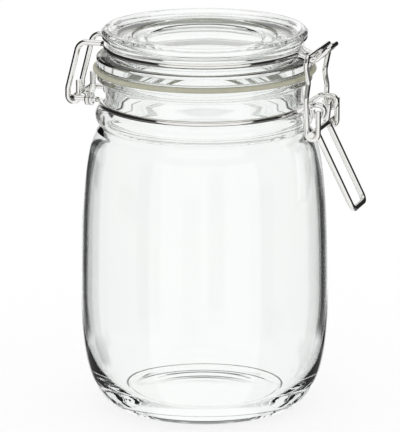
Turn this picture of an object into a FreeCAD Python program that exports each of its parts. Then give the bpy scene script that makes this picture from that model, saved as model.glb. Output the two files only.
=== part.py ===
"""One-litre glass preserving jar: hinged glass lid, rubber ring and a steel wire closure.

Millimetres. +Z is up along the jar's axis and the foot stands on Z = 0. The lever closure is at +X,
the lid's hinge at -X, and everything mirrors in the XZ plane. The origin is under the middle of the
bounding box, so the jar's own axis stands a few millimetres to -X of it.
"""
import FreeCAD, Part
import math
import os

V = FreeCAD.Vector

# ---- glass body: radii and heights --------------------------------------------------------------
FOOT_R, FOOT_RING = 35.0, 3.0  # outside of the ring it stands on, and that ring's width
PUNT_RISE = 2.0  # underside pushed up inside the ring
BELLY_R, BELLY_Z = 55.0, 50.0  # widest place
SHOULDER_Z = 126.0  # where the shoulder has closed in to the neck
FULLNESS = 0.69  # of the heel's and the shoulder's curve; 0.55 would be an ellipse
NECK_R = 43.8
MOUTH_R, MOUTH_Z = 47.5, 151.3  # flange round the mouth, and its top face
FLANGE_HEIGHT, FLANGE_SLOPE = 3.3, 1.4
BEAD_PROUD, BEAD_Z, BEAD_HALF = 4.4, 131.5, 4.6  # carrying bead round the foot of the neck
WALL = 3.0
FLOOR_Z = 5.5  # inside of the floor
BORE_R = 40.0
BORE_FOOT_Z = 123.0  # where the bore opens into the body

# ---- rubber ring and glass lid --------------------------------------------------------------------
RING_THICK, RING_IN_R, RING_OUT_R = 2.2, 39.5, 49.1
LID_FLANGE_R, LID_FLANGE_HEIGHT = 47.6, 4.3
GROOVE_R = 42.0  # seat of the lid wire
GROOVE_FOOT, GROOVE_TOP = 6.8, 11.7  # groove's two ends above the rubber ring
LID_RIM_R, LID_HEIGHT = 45.3, 16.5
RIM_HEIGHT = 4.0
LAND_R = 41.6  # inner edge of the rim's flat top
PLUG_R, PLUG_DEPTH = 38.5, 4.0  # plug that drops into the bore, below the rubber ring's top
PLUG_WALL = 2.5
CEILING = 7.7  # underside of the lid above the rubber ring
DISC_R, DISC_SINK = 25.4, 4.8  # sunk disc in the middle, below the rim's top

# ---- wire diameters and fits ----------------------------------------------------------------------
LID_WIRE, NECK_WIRE, LEVER_WIRE, BAIL_WIRE = 2.5, 2.4, 2.7, 2.3
LID_WIRE_R, LID_WIRE_Z = 43.35, 162.0  # ring in the lid's groove
NECK_WIRE_R, NECK_WIRE_Z = 45.6, 137.4  # ring round the neck, just above the bead
PIVOT_FIT = 0.05  # radial clearance at every pivot

# ---- hinge, at -X -----------------------------------------------------------------------------------
HINGE_X = -58.0
HOOK_Y, STIRRUP_Y = 9.3, 12.5  # half spacings of the lid wire's hooks and the stirrup's arms
ARM_TOP_X = -55.1  # where the lid wire's arms turn down
HOOK_TAIL = 7.5  # free end of a hook above the pivot
COIL_X, COIL_WIRE, COIL_TURNS = -47.4, 1.8, 2  # wire wrapped round each arm of the stirrup
COIL_VALLEY = 0.6  # between the turns, above the arm's surface

# ---- closure, at +X -----------------------------------------------------------------------------------
PIVOT_X, PIVOT_Z = 54.9, 138.7  # the lever turns here, in the neck wire's two eyes
CRANK_X, CRANK_Z = 53.8, 129.5  # the bail turns here, on the lever
EYE_Y, CRANK_Y, PIN_Y = 9.75, 6.7, 11.6
HANDLE_Y, HANDLE_X, HANDLE_Z = 9.0, 70.8, 95.6  # half width and tip of the handle
BAIL_PIN_Y = 17.2
BAIL_Y, BAIL_WAIST_Y, BAIL_TOP_Y = 14.6, 12.4, 17.8
BAIL_X, BAIL_TOP_X, BAIL_TOP_Z = 51.2, 51.8, 163.4
BAIL_TAIL = 10.2  # free end of a hook above the pin
TONGUE_Y = 5.0  # half width of the lid wire's tongue
TROUGH_X, TROUGH_Z = 51.2, 159.3  # the bail rests here
TONGUE_X, TONGUE_Z = 58.8, 166.2

# ---- what follows from those ------------------------------------------------------------------------
RING_TOP_Z = MOUTH_Z + RING_THICK
LID_TOP_Z = RING_TOP_Z + LID_HEIGHT


# ---- outlines and paths -----------------------------------------------------------------------------
def rounded_path(corners):
    """Edges through corners given as (point, bend radius): straight runs joined by tangent arcs."""
    edges, here = [], corners[0][0]
    for i in range(1, len(corners) - 1):
        corner, radius = corners[i]
        back = (corners[i - 1][0] - corner).normalize()
        ahead = (corners[i + 1][0] - corner).normalize()
        half = back.getAngle(ahead) / 2
        if radius == 0 or half > math.radians(89.9):
            edges.append(Part.makeLine(here, corner))
            here = corner
            continue
        setback = radius / math.tan(half)
        start, end = corner + back * setback, corner + ahead * setback
        inward = (back + ahead).normalize()
        middle = corner + inward * (radius / math.sin(half) - radius)
        if (start - here).Length > 1e-6:
            edges.append(Part.makeLine(here, start))
        edges.append(Part.Arc(start, middle, end).toShape())
        here = end
    last = corners[-1][0]
    if (last - here).Length > 1e-6:
        edges.append(Part.makeLine(here, last))
    return edges


def profile(points):
    """Corners in the XZ half plane, given as (radius, height) or (radius, height, rounding)."""
    return [(V(p[0], 0, p[1]), p[2] if len(p) > 2 else 0) for p in points]


def quarter_curve(r_end, z_end, r_wide, z_wide):
    """One cubic curve from a level start at its narrow end to the upright tangent at its widest."""
    level = r_end + (r_wide - r_end) * FULLNESS
    upright = z_wide + (z_end - z_wide) * FULLNESS
    curve = Part.BezierCurve()
    curve.setPoles([V(r_end, 0, z_end), V(level, 0, z_end), V(r_wide, 0, upright), V(r_wide, 0, z_wide)])
    return curve.toShape()


def revolved(edges):
    """A solid of revolution about the jar's axis from a closed outline."""
    outline = Part.Wire(Part.__sortEdges__(edges))
    return Part.Face(outline).revolve(V(0, 0, 0), V(0, 0, 1), 360)


def bent_wire(corners, diameter):
    """Round wire along a path of corners, with flat ends."""
    path = Part.Wire(rounded_path(corners))
    start = corners[0][0]
    section = Part.Wire([Part.makeCircle(diameter / 2, start, corners[1][0] - start)])
    wire = path.makePipeShell([section], True, False)
    if wire.Volume < 0:
        wire.reverse()
    return wire


def far_side(near_half):
    """The corners of a near half on the far side of the XZ plane, in reverse order."""
    return [(V(p.x, -p.y, p.z), radius) for p, radius in reversed(near_half)]


def ring_corners(radius, z, start, end, pieces):
    """Corners whose bends make up a level arc about the jar's axis, from start to end in degrees."""
    step = math.radians(end - start) / pieces
    corners = []
    for i in range(pieces):
        angle = math.radians(start) + (i + 0.5) * step
        reach = radius / math.cos(step / 2)
        corners.append((V(reach * math.cos(angle), reach * math.sin(angle), z), radius))
    return corners


def tangent_corner(radius, angle, y, z):
    """Where the tangent that leaves a level ring at the angle in degrees reaches the given y."""
    a = math.radians(angle)
    along = (y - radius * math.sin(a)) / math.cos(a)
    return V(radius * math.cos(a) - along * math.sin(a), y, z)


# ---- glass and rubber -------------------------------------------------------------------------------
def make_glass_body():
    """Blown body, bead, neck and mouth flange in one piece, open at the top."""
    inner_foot_r = FOOT_R - WALL
    edges = [quarter_curve(FOOT_R, 0, BELLY_R, BELLY_Z)]
    edges += [quarter_curve(NECK_R, SHOULDER_Z, BELLY_R, BELLY_Z)]
    neck = [
        (NECK_R, SHOULDER_Z),
        (NECK_R, MOUTH_Z - FLANGE_HEIGHT - FLANGE_SLOPE, 1.5),
        (MOUTH_R, MOUTH_Z - FLANGE_HEIGHT, 0.9),
        (MOUTH_R, MOUTH_Z, 1.0),
        (BORE_R, MOUTH_Z, 1.0),
        (BORE_R, BORE_FOOT_Z),
    ]
    edges += rounded_path(profile(neck))
    edges += [quarter_curve(BORE_R, BORE_FOOT_Z, BELLY_R - WALL, BELLY_Z)]
    edges += [quarter_curve(inner_foot_r, FLOOR_Z, BELLY_R - WALL, BELLY_Z)]
    underside = [
        (inner_foot_r, FLOOR_Z),
        (0, FLOOR_Z),
        (0, PUNT_RISE),
        (FOOT_R - FOOT_RING - 6.0, PUNT_RISE, 8.0),
        (FOOT_R - FOOT_RING, 0),
        (FOOT_R, 0),
    ]
    edges += rounded_path(profile(underside))
    body = revolved(edges)
    root_r = NECK_R + 0.7
    crown = V(NECK_R + BEAD_PROUD, 0, BEAD_Z)
    low, high = V(root_r, 0, BEAD_Z - BEAD_HALF), V(root_r, 0, BEAD_Z + BEAD_HALF)
    inside_low, inside_high = V(BORE_R + 1, 0, low.z), V(BORE_R + 1, 0, high.z)
    bead = [Part.Arc(low, crown, high).toShape()]
    bead += [Part.makeLine(high, inside_high), Part.makeLine(inside_high, inside_low)]
    bead += [Part.makeLine(inside_low, low)]
    body = body.fuse(revolved(bead))
    bore_foot = []
    for edge in body.Edges:
        if isinstance(edge.Curve, Part.Circle) and abs(edge.Curve.Center.z - BORE_FOOT_Z) < 1e-4:
            bore_foot.append(edge)
    return body.makeFillet(2.0, bore_foot)


def make_gasket():
    """Flat rubber ring that lies on the mouth, its outer edge rounded."""
    outline = [
        (RING_IN_R, MOUTH_Z),
        (RING_OUT_R, MOUTH_Z, 0.7),
        (RING_OUT_R, RING_TOP_Z, 0.7),
        (RING_IN_R, RING_TOP_Z),
        (RING_IN_R, MOUTH_Z),
    ]
    return revolved(rounded_path(profile(outline)))


def make_glass_lid():
    """Pressed lid: plug, flange, groove for the wire, raised rim, two low steps and a sunk disc."""
    low = RING_TOP_Z
    disc_z = LID_TOP_Z - DISC_SINK
    outline = [
        (0, low + CEILING),
        (PLUG_R - PLUG_WALL - 2.5, low + CEILING, 4.0),
        (PLUG_R - PLUG_WALL, low - PLUG_DEPTH, 0.8),
        (PLUG_R, low - PLUG_DEPTH, 0.8),
        (PLUG_R, low, 0.5),
        (LID_FLANGE_R, low, 1.2),
        (LID_FLANGE_R, low + LID_FLANGE_HEIGHT, 1.5),
        (GROOVE_R, low + GROOVE_FOOT, 1.0),
        (GROOVE_R, low + GROOVE_TOP, 0.8),
        (LID_RIM_R, LID_TOP_Z - RIM_HEIGHT, 1.0),
        (LID_RIM_R, LID_TOP_Z, 1.8),
        (LAND_R, LID_TOP_Z, 1.5),
        (LAND_R - 4.0, LID_TOP_Z - 2.5, 1.0),
        (LAND_R - 9.2, disc_z + 1.7, 0.6),
        (LAND_R - 10.2, disc_z + 1.0, 0.5),
        (DISC_R + 1.2, disc_z + 1.0, 0.6),
        (DISC_R, disc_z, 0.8),
        (0, disc_z),
        (0, low + CEILING),
    ]
    return revolved(rounded_path(profile(outline)))


# ---- steel wire ---------------------------------------------------------------------------------------
def make_lid_wire():
    """Hooks and arms at the hinge, a ring in the lid's groove, and the tongue that the bail holds."""
    hook_r = (LID_WIRE + NECK_WIRE) / 2 + PIVOT_FIT
    tail_x, leg_x, hook_low = HINGE_X + hook_r, HINGE_X - hook_r, NECK_WIRE_Z - hook_r
    near = [
        (V(tail_x, -HOOK_Y, NECK_WIRE_Z + HOOK_TAIL), 0),
        (V(tail_x, -HOOK_Y, hook_low), hook_r),
        (V(leg_x, -HOOK_Y, hook_low), hook_r),
        (V(leg_x, -HOOK_Y, NECK_WIRE_Z + 3.5), 4.0),
        (V(ARM_TOP_X, -HOOK_Y, LID_WIRE_Z), 4.5),
        (tangent_corner(LID_WIRE_R, -160, -HOOK_Y, LID_WIRE_Z), 3.0),
    ]
    near += ring_corners(LID_WIRE_R, LID_WIRE_Z, -160, -15, 4)
    near += [
        (tangent_corner(LID_WIRE_R, -15, -TONGUE_Y, LID_WIRE_Z), 3.0),
        (V(TROUGH_X, -TONGUE_Y, TROUGH_Z), 3.0),
        (V(TONGUE_X, -TONGUE_Y, TONGUE_Z), 2.4),
    ]
    return bent_wire(near + far_side(near), LID_WIRE)


def make_neck_wire():
    """Stirrup at the hinge, a ring above the bead, and an eye at each end for the lever's pins."""
    eye_r = (LEVER_WIRE + NECK_WIRE) / 2 + PIVOT_FIT
    near = [
        (V(HINGE_X, -STIRRUP_Y, NECK_WIRE_Z), 2.4),
        (tangent_corner(NECK_WIRE_R, -156, -STIRRUP_Y, NECK_WIRE_Z), 3.0),
    ]
    near += ring_corners(NECK_WIRE_R, NECK_WIRE_Z, -156, -18, 4)
    near += [
        (tangent_corner(NECK_WIRE_R, -18, -EYE_Y, NECK_WIRE_Z), 2.0),
        (V(PIVOT_X - 4.5, -EYE_Y, PIVOT_Z + eye_r), 3.0),
        (V(PIVOT_X + eye_r, -EYE_Y, PIVOT_Z + eye_r), eye_r),
        (V(PIVOT_X + eye_r, -EYE_Y, PIVOT_Z - eye_r), eye_r),
        (V(PIVOT_X - eye_r, -EYE_Y, PIVOT_Z - eye_r), eye_r),
        (V(PIVOT_X - eye_r, -EYE_Y, PIVOT_Z + 0.6), 0),
    ]
    wire = bent_wire(far_side(near) + near, NECK_WIRE)
    arm_r = NECK_WIRE / 2
    x = COIL_X
    edges = [Part.makeLine(V(x, 0, 0), V(x, 0, arm_r + COIL_VALLEY))]
    for turn in range(COIL_TURNS):
        ends = V(x, 0, arm_r + COIL_VALLEY), V(x - COIL_WIRE, 0, arm_r + COIL_VALLEY)
        crest = V(x - COIL_WIRE / 2, 0, arm_r + COIL_WIRE)
        edges.append(Part.Arc(ends[0], crest, ends[1]).toShape())
        x -= COIL_WIRE
    edges.append(Part.makeLine(ends[1], V(x, 0, 0)))
    edges.append(Part.makeLine(V(x, 0, 0), V(COIL_X, 0, 0)))
    coil = Part.Face(Part.Wire(edges)).revolve(V(0, 0, 0), V(1, 0, 0), 360)
    for side in (-1, 1):
        wrapped = coil.copy()
        wrapped.translate(V(0, side * STIRRUP_Y, NECK_WIRE_Z))
        wire = wire.fuse(wrapped)
    return wire


def make_lever():
    """Handle and crank in one: it turns on the inner pins and carries the bail on the outer ones."""
    handle = [
        (V(CRANK_X, -BAIL_PIN_Y, CRANK_Z), 0),
        (V(CRANK_X, -HANDLE_Y, CRANK_Z), 2.5),
        (V(HANDLE_X, -HANDLE_Y, HANDLE_Z), 3.0),
    ]
    crank = [
        (V(PIVOT_X, -PIN_Y, PIVOT_Z), 0),
        (V(PIVOT_X, -CRANK_Y, PIVOT_Z), 2.0),
        (V(CRANK_X, -CRANK_Y, CRANK_Z), 2.0),
    ]
    lever = bent_wire(handle + far_side(handle), LEVER_WIRE)
    lever = lever.fuse(bent_wire(crank + far_side(crank), LEVER_WIRE))
    start = V(CRANK_X, -HANDLE_Y, CRANK_Z)
    return lever.fuse(Part.makeCylinder(LEVER_WIRE / 2, 2 * HANDLE_Y, start, V(0, 1, 0)))


def make_bail():
    """Hooks on the lever's outer pins, waisted legs and the top bar that pulls the tongue down."""
    hook_r = (LEVER_WIRE + BAIL_WIRE) / 2 + PIVOT_FIT
    tail_x, leg_x, hook_low = CRANK_X + hook_r, CRANK_X - hook_r, CRANK_Z - hook_r
    near = [
        (V(tail_x, -BAIL_Y, CRANK_Z + BAIL_TAIL), 0),
        (V(tail_x, -BAIL_Y, hook_low), hook_r),
        (V(leg_x, -BAIL_Y, hook_low), hook_r),
        (V(leg_x, -BAIL_Y, CRANK_Z + 3.0), 6.0),
        (V(BAIL_X, -BAIL_Y - 1.6, CRANK_Z + 15.0), 4.0),
        (V(BAIL_X, -BAIL_WAIST_Y, MOUTH_Z + 0.5), 3.0),
        (V(BAIL_X + 0.3, -BAIL_TOP_Y, BAIL_TOP_Z - 3.4), 2.4),
        (V(BAIL_TOP_X, -BAIL_TOP_Y + 1.6, BAIL_TOP_Z), 1.4),
    ]
    return bent_wire(near + far_side(near), BAIL_WIRE)


# ---- every solid, moved so that the origin is under the middle of the bounding box ------------------
SOLIDS = {
    "glass_body": make_glass_body(),
    "glass_lid": make_glass_lid(),
    "gasket": make_gasket(),
    "lid_wire": make_lid_wire(),
    "neck_wire": make_neck_wire(),
    "lever": make_lever(),
    "bail": make_bail(),
}
hinge_back = HINGE_X - (LID_WIRE + NECK_WIRE) / 2 - PIVOT_FIT - LID_WIRE / 2
handle_front = HANDLE_X + LEVER_WIRE / 2
middle_x = (hinge_back + handle_front) / 2

os.makedirs("parts", exist_ok=True)
for node, solid in SOLIDS.items():
    solid.translate(V(-middle_x, 0, 0))
    solid.exportStep("parts/" + node + ".step")
    box = solid.BoundBox
    size = [box.XMin, box.XMax, box.YMin, box.YMax, box.ZMin, box.ZMax]
    print(node, len(solid.Solids), solid.isValid(), round(solid.Volume), [round(v, 2) for v in size])
print("jar axis at x =", round(-middle_x, 3))
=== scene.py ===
"""Glass preserving jar with a hinged glass lid, a rubber ring and a bent steel wire closure."""
import math
import bpy
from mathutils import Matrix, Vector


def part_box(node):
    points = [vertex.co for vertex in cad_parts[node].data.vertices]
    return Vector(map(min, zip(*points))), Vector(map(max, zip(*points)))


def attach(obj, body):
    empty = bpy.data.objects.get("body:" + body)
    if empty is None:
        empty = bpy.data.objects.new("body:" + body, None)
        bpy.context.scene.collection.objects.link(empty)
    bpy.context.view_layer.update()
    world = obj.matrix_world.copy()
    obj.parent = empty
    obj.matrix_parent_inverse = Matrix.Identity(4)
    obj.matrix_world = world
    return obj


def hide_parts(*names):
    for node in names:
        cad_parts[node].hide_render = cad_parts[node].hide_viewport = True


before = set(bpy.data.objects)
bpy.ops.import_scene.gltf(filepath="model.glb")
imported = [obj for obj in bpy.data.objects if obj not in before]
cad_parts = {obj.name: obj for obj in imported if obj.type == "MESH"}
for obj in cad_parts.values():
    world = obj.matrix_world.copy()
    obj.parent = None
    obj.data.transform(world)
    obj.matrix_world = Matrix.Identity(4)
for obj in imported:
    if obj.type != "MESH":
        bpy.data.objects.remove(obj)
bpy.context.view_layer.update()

# ---- Glass body ---------------------------------------------------------------------------------
# The jar is blown into a mould: a barrel-shaped body on a narrow foot, a round bead under the neck
# and a flange at the mouth. The wall is about 3 mm, a little uneven inside where the glass chilled
# on air and not on iron, and every edge was softened in the flame.
MM = 0.001
AXIS_X = (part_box("glass_body")[0][0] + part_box("glass_body")[1][0]) / 2  # the jar's own axis
MOUTH_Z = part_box("glass_body")[1][2] / MM
FOOT_R, FOOT_RING, PUNT_RISE = 35.0, 3.0, 2.0
MOULD_LINE = 0.5  # depth of the fine groove where the mould's base plate met its sides
BELLY_R, BELLY_Z, SHOULDER_Z = 55.0, 50.0, 126.0
FULLNESS = 0.69
HEEL_FROM_R = FOOT_R + 1.8  # the body's side begins outside the groove
NECK_R, MOUTH_R, BORE_R = 43.8, 47.5, 40.0
NECK_ROOT = 0.7  # how far the neck swells where the shoulder and the bead leave it
SHOULDER_FROM_R = 46.6  # the shoulder starts here, hidden under the bead
BEAD_PROUD, BEAD_Z, BEAD_HALF = 4.4, 131.5, 4.6
BEAD_LOW_SHARE = 0.8  # of the bead's lower half that is seen above the shoulder
FLANGE_FOOT, FLANGE_HEIGHT, MOUTH_ROUND, BORE_ROUND = 4.7, 3.3, 0.6, 0.8
WALL, FLOOR_Z, BORE_FOOT_Z = 2.75, 5.5, 123.0
THIN_SIDE = 198.0  # bearing of the thin side of the wall
SHOULDER_IN_R, SHOULDER_IN_Z = 42.1, 123.2  # where the shoulder's inside would close in
THROAT_TOP_Z, THROAT_JOIN_R, THROAT_LEAD = 143.0, 47.4, 10.0  # the smooth run from bore to body


def cubic(*ends, steps=40):
    """Points of the cubic curve with these four ends."""
    points = []
    for i in range(steps + 1):
        t = i / steps
        w = ((1 - t) ** 3, 3 * t * (1 - t) ** 2, 3 * t * t * (1 - t), t**3)
        points.append(tuple(sum(k * e[axis] for k, e in zip(w, ends)) for axis in (0, 1)))
    return points


def quarter(r_end, z_end, r_wide, z_wide):
    """Points of the cubic curve from a level narrow end to the upright widest place."""
    level = r_end + (r_wide - r_end) * FULLNESS
    upright = z_wide + (z_end - z_wide) * FULLNESS
    return cubic((r_end, z_end), (level, z_end), (r_wide, upright), (r_wide, z_wide))


def arc(centre, radius, start, end, steps=24):
    """Points of a circular arc between two angles in degrees."""
    points = []
    for i in range(steps + 1):
        a = math.radians(start + (end - start) * i / steps)
        points.append((centre[0] + radius * math.cos(a), centre[1] + radius * math.sin(a)))
    return points


def softened(points, spacing=0.3, passes=4):
    """The outline at an even spacing with its corners melted by a few passes of averaging."""
    path = [points[0]]
    for p in points[1:]:
        run = math.dist(path[-1], p)
        parts = max(1, round(run / spacing))
        a = path[-1]
        for i in range(1, parts + 1):
            path.append((a[0] + (p[0] - a[0]) * i / parts, a[1] + (p[1] - a[1]) * i / parts))
    for _ in range(passes):
        inner = []
        for a, b, c in zip(path, path[1:], path[2:]):
            inner.append(((a[0] + 2 * b[0] + c[0]) / 4, (a[1] + 2 * b[1] + c[1]) / 4))
        path = [path[0]] + inner + [path[-1]]
    return path


def thinned(points, turn=2.0, longest=2.5):
    """Leaves out points where the outline runs nearly straight."""
    kept, turned = [points[0]], 0.0
    for a, b, c in zip(points, points[1:], points[2:]):
        before = math.atan2(b[1] - a[1], b[0] - a[0])
        after = math.atan2(c[1] - b[1], c[0] - b[0])
        turned += abs(math.degrees(math.remainder(after - before, 2 * math.pi)))
        if turned >= turn or math.dist(kept[-1], b) >= longest:
            kept.append(b)
            turned = 0.0
    return kept + [points[-1]]


def turned(name, outline, lean=None, segments=224):
    """A closed mesh turned about the jar's axis from an outline that may start and end on the axis."""
    verts, rings, faces = [], [], []
    for r, z in outline:
        if r < 1e-6:
            rings.append([len(verts)])
            verts.append((AXIS_X, 0, z * MM))
            continue
        ring = []
        off_centre = lean(r, z) if lean else 0
        for k in range(segments):
            a = 2 * math.pi * k / segments
            out = r + off_centre * math.cos(a - math.radians(THIN_SIDE))
            ring.append(len(verts))
            verts.append((AXIS_X + out * MM * math.cos(a), out * MM * math.sin(a), z * MM))
        rings.append(ring)
    if outline[0][0] > 1e-6:
        rings.append(rings[0])
    for low, high in zip(rings, rings[1:]):
        for k in range(segments):
            n = (k + 1) % segments
            if len(low) == 1:
                faces.append((low[0], high[n], high[k]))
            elif len(high) == 1:
                faces.append((low[k], low[n], high[0]))
            else:
                faces.append((low[k], low[n], high[n], high[k]))
    mesh = bpy.data.meshes.new(name)
    mesh.from_pydata(verts, [], faces)
    mesh.validate()
    mesh.polygons.foreach_set("use_smooth", [True] * len(mesh.polygons))
    mesh.update()
    piece = bpy.data.objects.new(name, mesh)
    bpy.context.scene.collection.objects.link(piece)
    return piece


def linear(hex_colour):
    """An sRGB hex colour as linear RGBA."""
    values = [int(hex_colour[i : i + 2], 16) / 255 for i in (1, 3, 5)]
    return [v / 12.92 if v <= 0.04045 else ((v + 0.055) / 1.055) ** 2.4 for v in values] + [1.0]


def add_node(tree, kind, settings=None, inputs=None):
    """A node with its own settings and its sockets set to values or linked to other sockets."""
    node = tree.nodes.new(kind)
    for key, value in (settings or {}).items():
        setattr(node, key, value)
    for key, value in (inputs or {}).items():
        if isinstance(value, bpy.types.NodeSocket):
            tree.links.new(value, node.inputs[key])
        else:
            node.inputs[key].default_value = value
    return node


def new_material(name):
    """An empty node material and its output node."""
    material = bpy.data.materials.new(name)
    material.use_nodes = True
    material.node_tree.nodes.clear()
    return material, material.node_tree, add_node(material.node_tree, "ShaderNodeOutputMaterial")


ring_in = FOOT_R - FOOT_RING
body_outline = [(r, PUNT_RISE * (1 - (r / ring_in) ** 2)) for r in (ring_in * i / 16 for i in range(17))]
body_outline += [(FOOT_R, 0), (FOOT_R + 0.3, MOULD_LINE), (FOOT_R + 1.5, MOULD_LINE)]
body_outline += [p for p in quarter(FOOT_R, 0, BELLY_R, BELLY_Z) if p[0] > HEEL_FROM_R]
shoulder = quarter(NECK_R + NECK_ROOT, SHOULDER_Z, BELLY_R, BELLY_Z)
body_outline += [p for p in shoulder[-2::-1] if p[0] > SHOULDER_FROM_R]
rise = BEAD_PROUD - NECK_ROOT
bead_r = (BEAD_HALF**2 + rise**2) / (2 * rise)
bead_span = math.degrees(math.asin(BEAD_HALF / bead_r))
bead_centre = (NECK_R + BEAD_PROUD - bead_r, BEAD_Z)
body_outline += arc(bead_centre, bead_r, -bead_span * BEAD_LOW_SHARE, bead_span)
body_outline += [(NECK_R, BEAD_Z + BEAD_HALF + 0.3), (NECK_R, MOUTH_Z - FLANGE_FOOT)]
body_outline += [(MOUTH_R, MOUTH_Z - FLANGE_HEIGHT), (MOUTH_R, MOUTH_Z - MOUTH_ROUND)]
body_outline += [(MOUTH_R - MOUTH_ROUND, MOUTH_Z), (BORE_R + BORE_ROUND, MOUTH_Z)]
body_outline += [(BORE_R, MOUTH_Z - BORE_ROUND)]
inside = quarter(SHOULDER_IN_R, SHOULDER_IN_Z, BELLY_R - WALL, BELLY_Z)
join = next(i for i, p in enumerate(inside) if p[0] > THROAT_JOIN_R)
before, joined = inside[join - 1], inside[join]
run = math.dist(before, joined)
lead = [joined[k] - (joined[k] - before[k]) / run * THROAT_LEAD for k in (0, 1)]
body_outline += cubic((BORE_R, THROAT_TOP_Z), (BORE_R, THROAT_TOP_Z - THROAT_LEAD), lead, joined)
body_outline += inside[join + 1 :]
body_outline += quarter(FOOT_R - WALL, FLOOR_Z, BELLY_R - WALL, BELLY_Z)[-2::-1]
body_outline += [(0, FLOOR_Z)]
WALL_LEAN, LEAN_FADE, LEAN_FOOT_Z = 0.25, 20.0, FLOOR_Z + 2


def uneven_wall(r, z):
    """How far a ring of the inside leans to one side, where the wall is that much thinner."""
    end_r, end_z = (FOOT_R, 0) if z < BELLY_Z else (NECK_R + NECK_ROOT, SHOULDER_Z)
    outside = min(quarter(end_r, end_z, BELLY_R, BELLY_Z), key=lambda p: abs(p[1] - z))[0]
    if not LEAN_FOOT_Z < z < BORE_FOOT_Z or r > outside - WALL / 2:
        return 0
    return WALL_LEAN * min(1, (z - LEAN_FOOT_Z) / LEAN_FADE, (BORE_FOOT_Z - z) / LEAN_FADE)


glass_body = turned("blown_glass_body", thinned(softened(body_outline)), uneven_wall)


def mottle(tree, size, detail=2.0):
    """Noise on the piece's own coordinates whose patches are about this many mm across."""
    place = add_node(tree, "ShaderNodeTexCoord").outputs["Object"]
    sockets = {"Vector": place, "Scale": 1 / (size * MM), "Detail": detail}
    return add_node(tree, "ShaderNodeTexNoise", inputs=sockets).outputs[0]


def spread(tree, factor, low, high):
    """A factor of about 0.3 to 0.7 carried to the range from low to high."""
    sockets = {"Value": factor, "From Min": 0.3, "From Max": 0.7, "To Min": low, "To Max": high}
    return add_node(tree, "ShaderNodeMapRange", inputs=sockets).outputs[0]


def tinted(tree, factor, one, other):
    """A colour that goes from one hex colour to the other with the factor."""
    sockets = {0: factor, 6: linear(one), 7: linear(other)}
    return add_node(tree, "ShaderNodeMix", {"data_type": "RGBA"}, sockets).outputs[2]


def relief(tree, factor, height):
    """The normal of a surface that rises and falls by this many mm with the factor."""
    sockets = {"Strength": 1.0, "Distance": height * MM, "Height": factor}
    return add_node(tree, "ShaderNodeBump", inputs=sockets).outputs[0]


# Soda-lime glass, IOR 1.52, moulded and fire-polished: no roughness, nearly no colour through a wall
# this thin, and a slow waviness left by the mould.
clear_glass, tree, out = new_material("soda_lime_glass")
shader = add_node(
    tree,
    "ShaderNodeBsdfPrincipled",
    inputs={
        "Base Color": tinted(tree, spread(tree, mottle(tree, 30), 0, 1), "#FDFEFD", "#FBFDFC"),
        "Roughness": 0.0,
        "IOR": 1.52,
        "Transmission Weight": 1.0,
        "Normal": relief(tree, mottle(tree, 14, 0.0), 0.02),
    },
)
tree.links.new(shader.outputs["BSDF"], out.inputs["Surface"])
glass_body.data.materials.append(clear_glass)
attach(glass_body, "jar")
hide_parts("glass_body")

# ---- Glass lid ----------------------------------------------------------------------------------
# The lid is pressed: a sunk disc with two low steps round it, a raised rim, the groove that the
# wire sits in, the flange that squeezes the rubber ring, and a plug that centres it in the bore.
RING_TOP_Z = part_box("gasket")[1][2] / MM
LID_TOP_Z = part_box("glass_lid")[1][2] / MM
DISC_Z = LID_TOP_Z - 4.8
CEILING_Z, PLUG_FOOT_Z = RING_TOP_Z + 7.7, RING_TOP_Z - 4.0
PLUG_R, LID_FLANGE_R, WIRE_SEAT_R, LID_RIM_R = 38.5, 47.6, 42.0, 45.3
lid_outline = [
    (0, CEILING_Z),
    (29.5, CEILING_Z),
    (32.6, RING_TOP_Z + 6.9),
    (34.4, RING_TOP_Z + 4.2),
    (36.0, RING_TOP_Z - 3.6),
    (36.6, PLUG_FOOT_Z),
    (PLUG_R - 0.4, PLUG_FOOT_Z),
    (PLUG_R, PLUG_FOOT_Z + 0.4),
    (PLUG_R, RING_TOP_Z),
    (LID_FLANGE_R - 0.6, RING_TOP_Z),
    (LID_FLANGE_R, RING_TOP_Z + 0.6),
    (LID_FLANGE_R, RING_TOP_Z + 4.0),
    (46.9, RING_TOP_Z + 4.7),
    (43.0, RING_TOP_Z + 4.9),
    (WIRE_SEAT_R, RING_TOP_Z + 5.9),
    (WIRE_SEAT_R, RING_TOP_Z + 11.4),
    (42.5, RING_TOP_Z + 11.9),
    (44.7, LID_TOP_Z - 4.1),
    (LID_RIM_R, LID_TOP_Z - 3.4),
    (LID_RIM_R, LID_TOP_Z - 1.2),
    (44.1, LID_TOP_Z),
    (42.0, LID_TOP_Z),
    (41.0, LID_TOP_Z - 0.4),
    (38.2, LID_TOP_Z - 2.3),
    (37.0, LID_TOP_Z - 2.6),
    (32.8, DISC_Z + 1.8),
    (32.0, DISC_Z + 1.6),
    (31.4, DISC_Z + 1.0),
    (26.8, DISC_Z + 1.0),
    (26.0, DISC_Z + 0.7),
    (25.2, DISC_Z),
    (0, DISC_Z),
]
glass_lid = turned("pressed_glass_lid", thinned(softened(lid_outline, 0.15, 3)), segments=512)
glass_lid.data.materials.append(clear_glass)
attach(glass_lid, "lid")
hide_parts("glass_lid")

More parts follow.
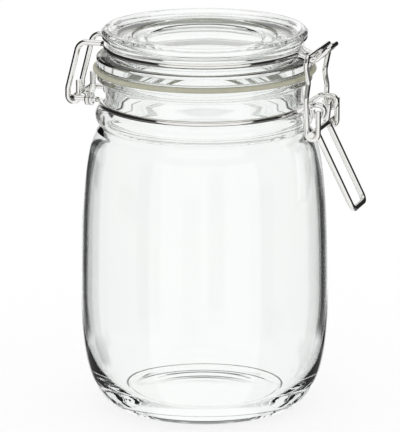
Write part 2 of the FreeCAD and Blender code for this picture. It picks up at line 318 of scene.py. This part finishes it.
# ---- Rubber ring --------------------------------------------------------------------------------
# A flat ring cut from translucent rubber, its outer edge rounded where it stands out from the rim.
RING_IN_R, RING_OUT_R, RING_ROUND = 39.5, 49.1, 0.7
ring_outline = [
    (RING_IN_R, MOUTH_Z),
    (RING_OUT_R - RING_ROUND, MOUTH_Z),
    (RING_OUT_R, MOUTH_Z + RING_ROUND),
    (RING_OUT_R, RING_TOP_Z - RING_ROUND),
    (RING_OUT_R - RING_ROUND, RING_TOP_Z),
    (RING_IN_R, RING_TOP_Z),
    (RING_IN_R, MOUTH_Z),
]
rubber_ring = turned("rubber_ring", thinned(softened(ring_outline, 0.2, 3))[:-1])
rubber, tree, out = new_material("natural_translucent_rubber")
shader = add_node(
    tree,
    "ShaderNodeBsdfPrincipled",
    inputs={
        "Base Color": tinted(tree, spread(tree, mottle(tree, 6), 0, 1), "#B8B7A6", "#AFAE9B"),
        "Roughness": spread(tree, mottle(tree, 1.5), 0.38, 0.52),
        "IOR": 1.52,
        "Subsurface Weight": 0.6,
        "Subsurface Radius": (0.004, 0.004, 0.003),
        "Subsurface Scale": 0.5,
        "Normal": relief(tree, mottle(tree, 0.3), 0.02),
    },
)
tree.links.new(shader.outputs["BSDF"], out.inputs["Surface"])
rubber_ring.data.materials.append(rubber)
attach(rubber_ring, "lid")
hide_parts("gasket")

# ---- Wires --------------------------------------------------------------------------------------
# Bright drawn stainless wire, bent cold: the lid's band and tongue, the neck's band with its eyes,
# the lever and the bail. Drawing leaves it bright, with a gloss that varies a little.
steel, tree, out = new_material("bright_drawn_stainless_wire")
shader = add_node(
    tree,
    "ShaderNodeBsdfPrincipled",
    inputs={
        "Base Color": tinted(tree, spread(tree, mottle(tree, 8), 0, 1), "#F4F3F1", "#ECEBE8"),
        "Metallic": 1.0,
        "Roughness": spread(tree, mottle(tree, 0.8), 0.04, 0.10),
        "Normal": relief(tree, mottle(tree, 0.2, 0.0), 0.001),
    },
)
tree.links.new(shader.outputs["BSDF"], out.inputs["Surface"])
for node in ("lid_wire", "neck_wire", "lever", "bail"):
    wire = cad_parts[node]
    wire.data.materials.clear()
    wire.data.materials.append(steel)

# ---- Floor, light and camera --------------------------------------------------------------------
# A white table that fades into a white room. Dark cards stand round the jar, so that its edges
# draw themselves in grey, and the table is not seen through the glass.
floor_mesh = bpy.data.meshes.new("floor")
FLOOR_HALF = 4.0
corners = [(x * FLOOR_HALF, y * FLOOR_HALF, 0) for x, y in ((-1, -1), (1, -1), (1, 1), (-1, 1))]
floor_mesh.from_pydata(corners, [], [(0, 1, 2, 3)])
floor = bpy.data.objects.new("floor", floor_mesh)
bpy.context.scene.collection.objects.link(floor)
white_table, tree, out = new_material("white_table")
SHADOW_SHARE = 0.18  # of what is seen of the table; the rest is plain white
lit = add_node(tree, "ShaderNodeBsdfDiffuse", inputs={"Color": linear("#FFFFFF")})
white = add_node(tree, "ShaderNodeEmission", inputs={"Color": linear("#FFFFFF"), "Strength": 1.0})
path = add_node(tree, "ShaderNodeLightPath")
share = add_node(tree, "ShaderNodeMath", {"operation": "MULTIPLY"},
                 {0: path.outputs["Is Camera Ray"], 1: 1 - SHADOW_SHARE})
sockets = {0: share.outputs[0], 1: lit.outputs[0], 2: white.outputs[0]}
surface = add_node(tree, "ShaderNodeMixShader", inputs=sockets)
tree.links.new(surface.outputs[0], out.inputs["Surface"])
floor_mesh.materials.append(white_table)
FLOOR_GAP = 0.2  # keeps the table clear of the foot
floor.location.z = -FLOOR_GAP * MM
floor.visible_transmission = False
floor.visible_glossy = False

world = bpy.data.worlds.new("studio")
bpy.context.scene.world = world
world.use_nodes = True
tree = world.node_tree
tree.nodes.clear()
direction = add_node(tree, "ShaderNodeTexCoord").outputs["Generated"]
split = add_node(tree, "ShaderNodeSeparateXYZ", inputs={0: direction})
sockets = {0: split.outputs["Y"], 1: split.outputs["X"]}
turn = add_node(tree, "ShaderNodeMath", {"operation": "ARCTAN2"}, sockets)


def figure(operation, *values):
    """The result of one operation on sockets and numbers."""
    return add_node(tree, "ShaderNodeMath", {"operation": operation}, dict(enumerate(values))).outputs[0]


def ramp(value, none, full):
    """A smooth rise from 0, where the value is the first number, to 1, where it is the second."""
    sockets = {"Value": value, "From Min": none, "From Max": full}
    return add_node(tree, "ShaderNodeMapRange", {"interpolation_type": "SMOOTHSTEP"}, sockets).outputs[0]


SOFT_HEIGHT, SOFT_WIDTH = 0.03, 1.5  # half widths of a card's soft edges, as a sine and in degrees


def band(height, half_height):
    """1 in directions whose height, as a sine, is within a band, and 0 elsewhere."""
    away = figure("ABSOLUTE", figure("SUBTRACT", split.outputs["Z"], height))
    return ramp(away, half_height + SOFT_HEIGHT, half_height - SOFT_HEIGHT)


def card(bearing, half_width, height, half_height):
    """1 where an upright card stands, given by its bearing and half width in degrees and its band."""
    cosine = figure("COSINE", figure("SUBTRACT", turn.outputs[0], math.radians(bearing)))
    ends = [math.cos(math.radians(half_width + soft)) for soft in (SOFT_WIDTH, -SOFT_WIDTH)]
    return figure("MULTIPLY", ramp(cosine, *ends), band(height, half_height))


def near(bearing, height, inner, outer):
    """1 within the inner angle of a direction and 0 beyond the outer one, angles in degrees."""
    level = math.sqrt(1 - height * height)
    aim = (level * math.cos(math.radians(bearing)), level * math.sin(math.radians(bearing)), height)
    cosine = add_node(tree, "ShaderNodeVectorMath", {"operation": "DOT_PRODUCT"}, {0: direction, 1: aim})
    return ramp(cosine.outputs["Value"], math.cos(math.radians(outer)), math.cos(math.radians(inner)))


def above(height):
    """1 above a height given as a sine, 0 below it."""
    return ramp(split.outputs["Z"], height - SOFT_HEIGHT, height + SOFT_HEIGHT)


def less(socket):
    """1 less the socket."""
    return figure("SUBTRACT", 1.0, socket)


def room_with(cards):
    """A white room as dark as the darkest card in each direction: each is a mask and a darkness."""
    dark = None
    for mask, darkness in cards:
        part = figure("MULTIPLY", mask, darkness)
        dark = part if dark is None else figure("MAXIMUM", dark, part)
    return less(dark)


# Rays that come through glass meet a dark ring round a white window behind the jar, cut off above
# and below, and single cards at other bearings that do the same for the other sides.
ring = less(near(108, -0.255, 16.5, 19.0))
for mask in (near(108, -0.255, 42, 48), above(-0.36), less(above(0.05)), less(near(90, -0.045, 8, 10))):
    ring = figure("MULTIPLY", ring, mask)
seen_through = room_with([
    (ring, 0.93),
    (card(276, 8, -0.155, 0.21), 0.45),
    (card(346, 13, -0.155, 0.21), 0.40),
    (card(150, 12, -0.045, 0.08), 0.97),
    (card(210, 12, -0.045, 0.08), 0.45),
    (card(60, 12, -0.045, 0.08), 0.97),
    (card(164, 11, -0.46, 0.09), 0.90),
])
# Rays that bounce off glass or steel meet two wide cards at the sides, paler low down, and a band
# overhead.
SIDES = (35.75, 180.25)
SIDE_HALF_WIDTH = 54.75
mirror_cards = [(band(0.53, 0.13), 0.75)]
for side in SIDES:
    mirror_cards.append((card(side, SIDE_HALF_WIDTH, 0.23, 0.57), 0.98))
    mirror_cards.append((card(side, SIDE_HALF_WIDTH, -0.6, 0.28), 0.85))
mirrored = room_with(mirror_cards)
path = add_node(tree, "ShaderNodeLightPath")
glossy = add_node(tree, "ShaderNodeMix", {"data_type": "FLOAT"},
                  {0: path.outputs["Is Glossy Ray"], 2: 1.0, 3: mirrored})
sockets = {0: path.outputs["Is Transmission Ray"], 2: glossy.outputs[0], 3: seen_through}
level = add_node(tree, "ShaderNodeMix", {"data_type": "FLOAT"}, sockets)
sockets = {"Color": linear("#FFFFFF"), "Strength": level.outputs[0]}
sky = add_node(tree, "ShaderNodeBackground", inputs=sockets)
ground = add_node(tree, "ShaderNodeOutputWorld", inputs={"Surface": sky.outputs[0]})

CAMERA_AZIMUTH, CAMERA_PITCH = 18.0, 14.55
CAMERA_AWAY, CAMERA_UP = 1.688, 0.523
camera_data = bpy.data.cameras.new("camera")
camera = bpy.data.objects.new("camera", camera_data)
bpy.context.scene.collection.objects.link(camera)
bearing = math.radians(CAMERA_AZIMUTH)
camera.location = (AXIS_X + CAMERA_AWAY * math.sin(bearing), -CAMERA_AWAY * math.cos(bearing), CAMERA_UP)
camera.rotation_euler = (math.radians(90 - CAMERA_PITCH), 0, bearing)
camera_data.sensor_width = 36
camera_data.lens = 328
camera_data.shift_x = -0.01088
camera_data.clip_end = 20
bpy.context.scene.camera = camera
bpy.context.scene.view_settings.view_transform = "Standard"
bpy.context.scene.cycles.max_bounces = 24
bpy.context.scene.cycles.transmission_bounces = 24
bpy.context.scene.cycles.glossy_bounces = 12
